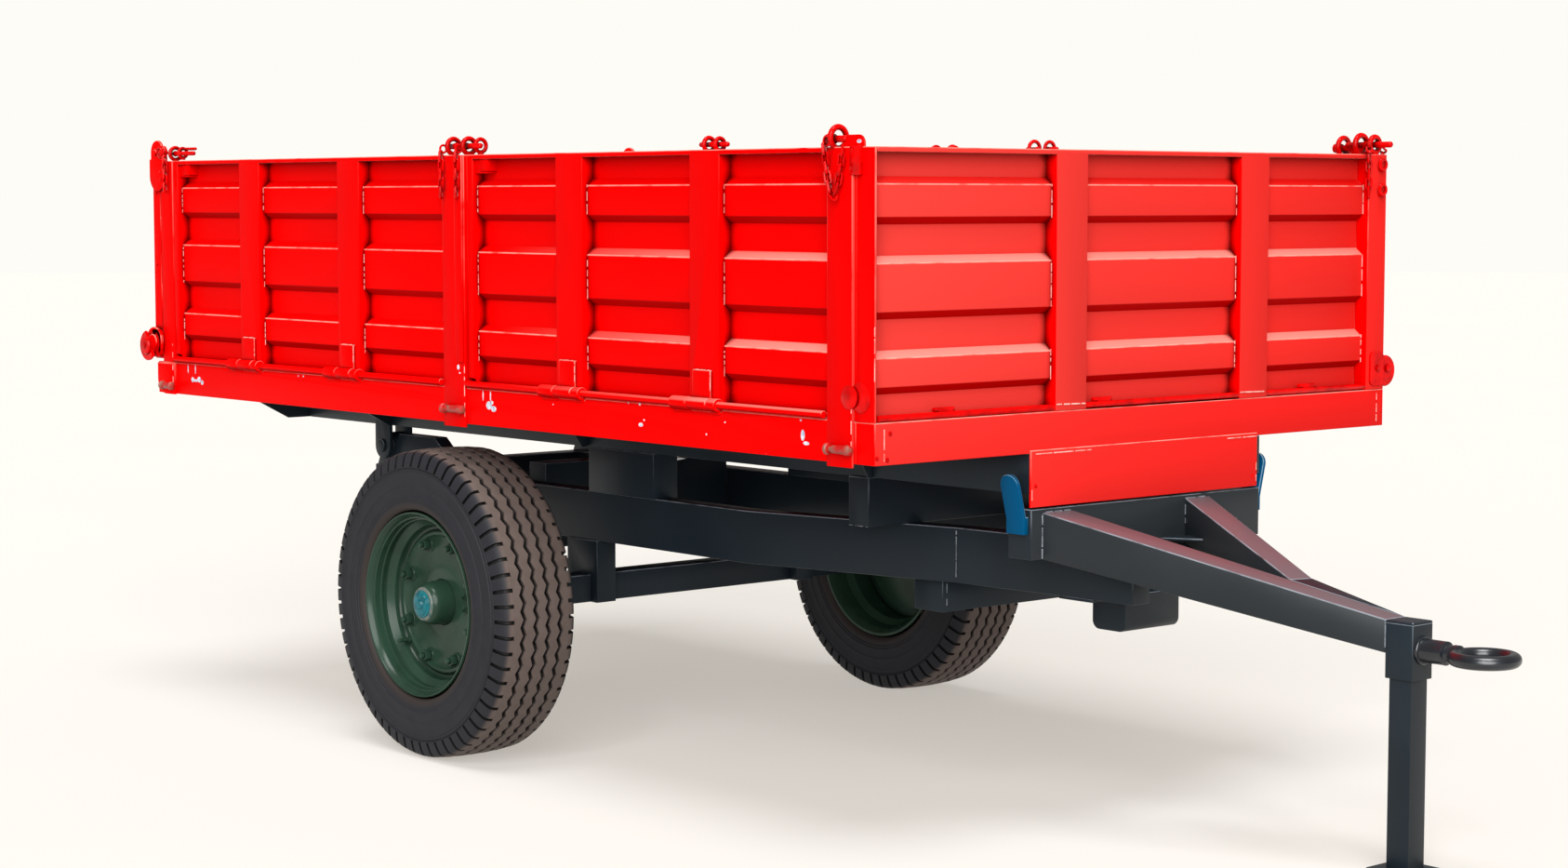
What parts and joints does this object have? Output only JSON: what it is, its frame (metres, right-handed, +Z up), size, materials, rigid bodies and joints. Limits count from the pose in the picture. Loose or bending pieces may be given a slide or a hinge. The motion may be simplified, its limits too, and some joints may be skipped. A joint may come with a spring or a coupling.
{
  "type": "single-axle tipping farm trailer",
  "caption": "Single-axle farm trailer with ribbed drop sides, a top-hung tailgate, a ram-lifted bed, an A-frame drawbar, a ring tow eye and a drop leg.",
  "frame": {"origin": "on the ground, in the middle of the trailer's length and width", "axes": "+X forward to the tow eye, +Y to the trailer's left, +Z up"},
  "size_m": [4.402, 1.939, 1.691],
  "materials": {
    "body_paint": "satin",
    "floor_paint": "satin, worn",
    "chassis_paint": "satin",
    "forged_paint": "satin, forged",
    "guide_paint": "satin",
    "wheel_paint": "satin",
    "cap_paint": "gloss",
    "tyre": "matte",
    "ram_chrome": "polished"
  },
  "bodies": {
    "chassis": {"chassis_rail_right": "chassis_paint", "chassis_rail_left": "chassis_paint", "axle_beam": "chassis_paint", "axle_brackets": "chassis_paint", "front_cross_beam": "chassis_paint", "rest_blocks": "chassis_paint", "support_beam": "chassis_paint", "lower_cross_tube": "chassis_paint", "rear_cross_beam": "chassis_paint", "mid_cross_member": "chassis_paint", "ram_beam": "chassis_paint", "tip_bearings": "chassis_paint", "nose_bracket": "chassis_paint", "drawbar_beam_right": "chassis_paint", "drawbar_beam_left": "chassis_paint", "drawbar_gussets": "chassis_paint", "drawbar_head": "chassis_paint", "tow_eye": "forged_paint", "guide_ears": "guide_paint"},
    "wheel_right": {"tyre_right": "tyre", "rim_right": "wheel_paint", "hub_right": "wheel_paint", "hub_cap_right": "cap_paint"},
    "wheel_left": {"tyre_left": "tyre", "rim_left": "wheel_paint", "hub_left": "wheel_paint", "hub_cap_left": "cap_paint"},
    "parking_leg": {"parking_leg": "chassis_paint", "parking_foot": "chassis_paint"},
    "bed": {"bed_front_rail": "body_paint", "bed_rear_rail": "body_paint", "bed_side_rail_right": "body_paint", "bed_side_rail_left": "body_paint", "floor_plate": "floor_paint", "cross_bearers": "chassis_paint", "subframe_rail_right": "chassis_paint", "subframe_rail_left": "chassis_paint", "subframe_gussets": "chassis_paint", "tip_lugs": "chassis_paint", "ram_cross_tube": "chassis_paint", "apron": "body_paint", "rear_posts": "body_paint", "centre_posts": "body_paint", "front_posts": "body_paint", "corner_posts": "body_paint", "rear_feet": "body_paint", "headboard": "body_paint", "hinge_knuckles": "body_paint", "hinge_rods": "body_paint"},
    "ram_barrel": {"ram_barrel": "chassis_paint"},
    "ram_rod": {"ram_rod": "ram_chrome"},
    "board_right_front": {"side_board_right_front": "body_paint"},
    "board_right_rear": {"side_board_right_rear": "body_paint"},
    "board_left_front": {"side_board_left_front": "body_paint"},
    "board_left_rear": {"side_board_left_rear": "body_paint"},
    "tailgate": {"tailgate": "body_paint"}
  },
  "joints": [
    {"name": "wheel_right_spin", "type": "hinge", "parent": "chassis", "child": "wheel_right", "pos_m": [-0.64, -0.843, 0.42], "axis": [0, 1, 0], "continuous": true},
    {"name": "wheel_left_spin", "type": "hinge", "parent": "chassis", "child": "wheel_left", "pos_m": [-0.64, 0.843, 0.42], "axis": [0, 1, 0], "continuous": true},
    {"name": "bed_tip", "type": "hinge", "parent": "chassis", "child": "bed", "pos_m": [-1.64, 0, 0.757], "axis": [0, -1, 0], "range_deg": [0, 45]},
    {"name": "ram_pivot", "type": "hinge", "parent": "chassis", "child": "ram_barrel", "pos_m": [-1.32, 0, 0.527], "axis": [0, -1, 0], "range_deg": [0, 47.7]},
    {"name": "ram_slide", "type": "slide", "parent": "ram_barrel", "child": "ram_rod", "axis": [0.9166, 0, 0.3998], "range_m": [0, 0.29971]},
    {"name": "board_right_front_hinge", "type": "hinge", "parent": "bed", "child": "board_right_front", "pos_m": [-0.5155, -0.914, 1.024], "axis": [1, 0, 0], "range_deg": [0, 160]},
    {"name": "board_right_rear_hinge", "type": "hinge", "parent": "bed", "child": "board_right_rear", "pos_m": [-0.5155, -0.914, 1.024], "axis": [1, 0, 0], "range_deg": [0, 160]},
    {"name": "board_left_front_hinge", "type": "hinge", "parent": "bed", "child": "board_left_front", "pos_m": [-0.5155, 0.914, 1.024], "axis": [-1, 0, 0], "range_deg": [0, 160]},
    {"name": "board_left_rear_hinge", "type": "hinge", "parent": "bed", "child": "board_left_rear", "pos_m": [-0.5155, 0.914, 1.024], "axis": [-1, 0, 0], "range_deg": [0, 160]},
    {"name": "tailgate_hinge", "type": "hinge", "parent": "bed", "child": "tailgate", "pos_m": [-2.125, 0, 1.655], "axis": [0, 1, 0], "range_deg": [0, 90]},
    {"name": "parking_leg_slide", "type": "slide", "parent": "chassis", "child": "parking_leg", "axis": [0, 0, 1], "range_m": [0, 0.3]}
  ],
  "couplings": [
    {"joint": "ram_pivot", "follows": "bed_tip", "ratio": 1.059},
    {"joint": "ram_slide", "follows": "bed_tip", "m_per_rad": 0.38135}
  ]
}
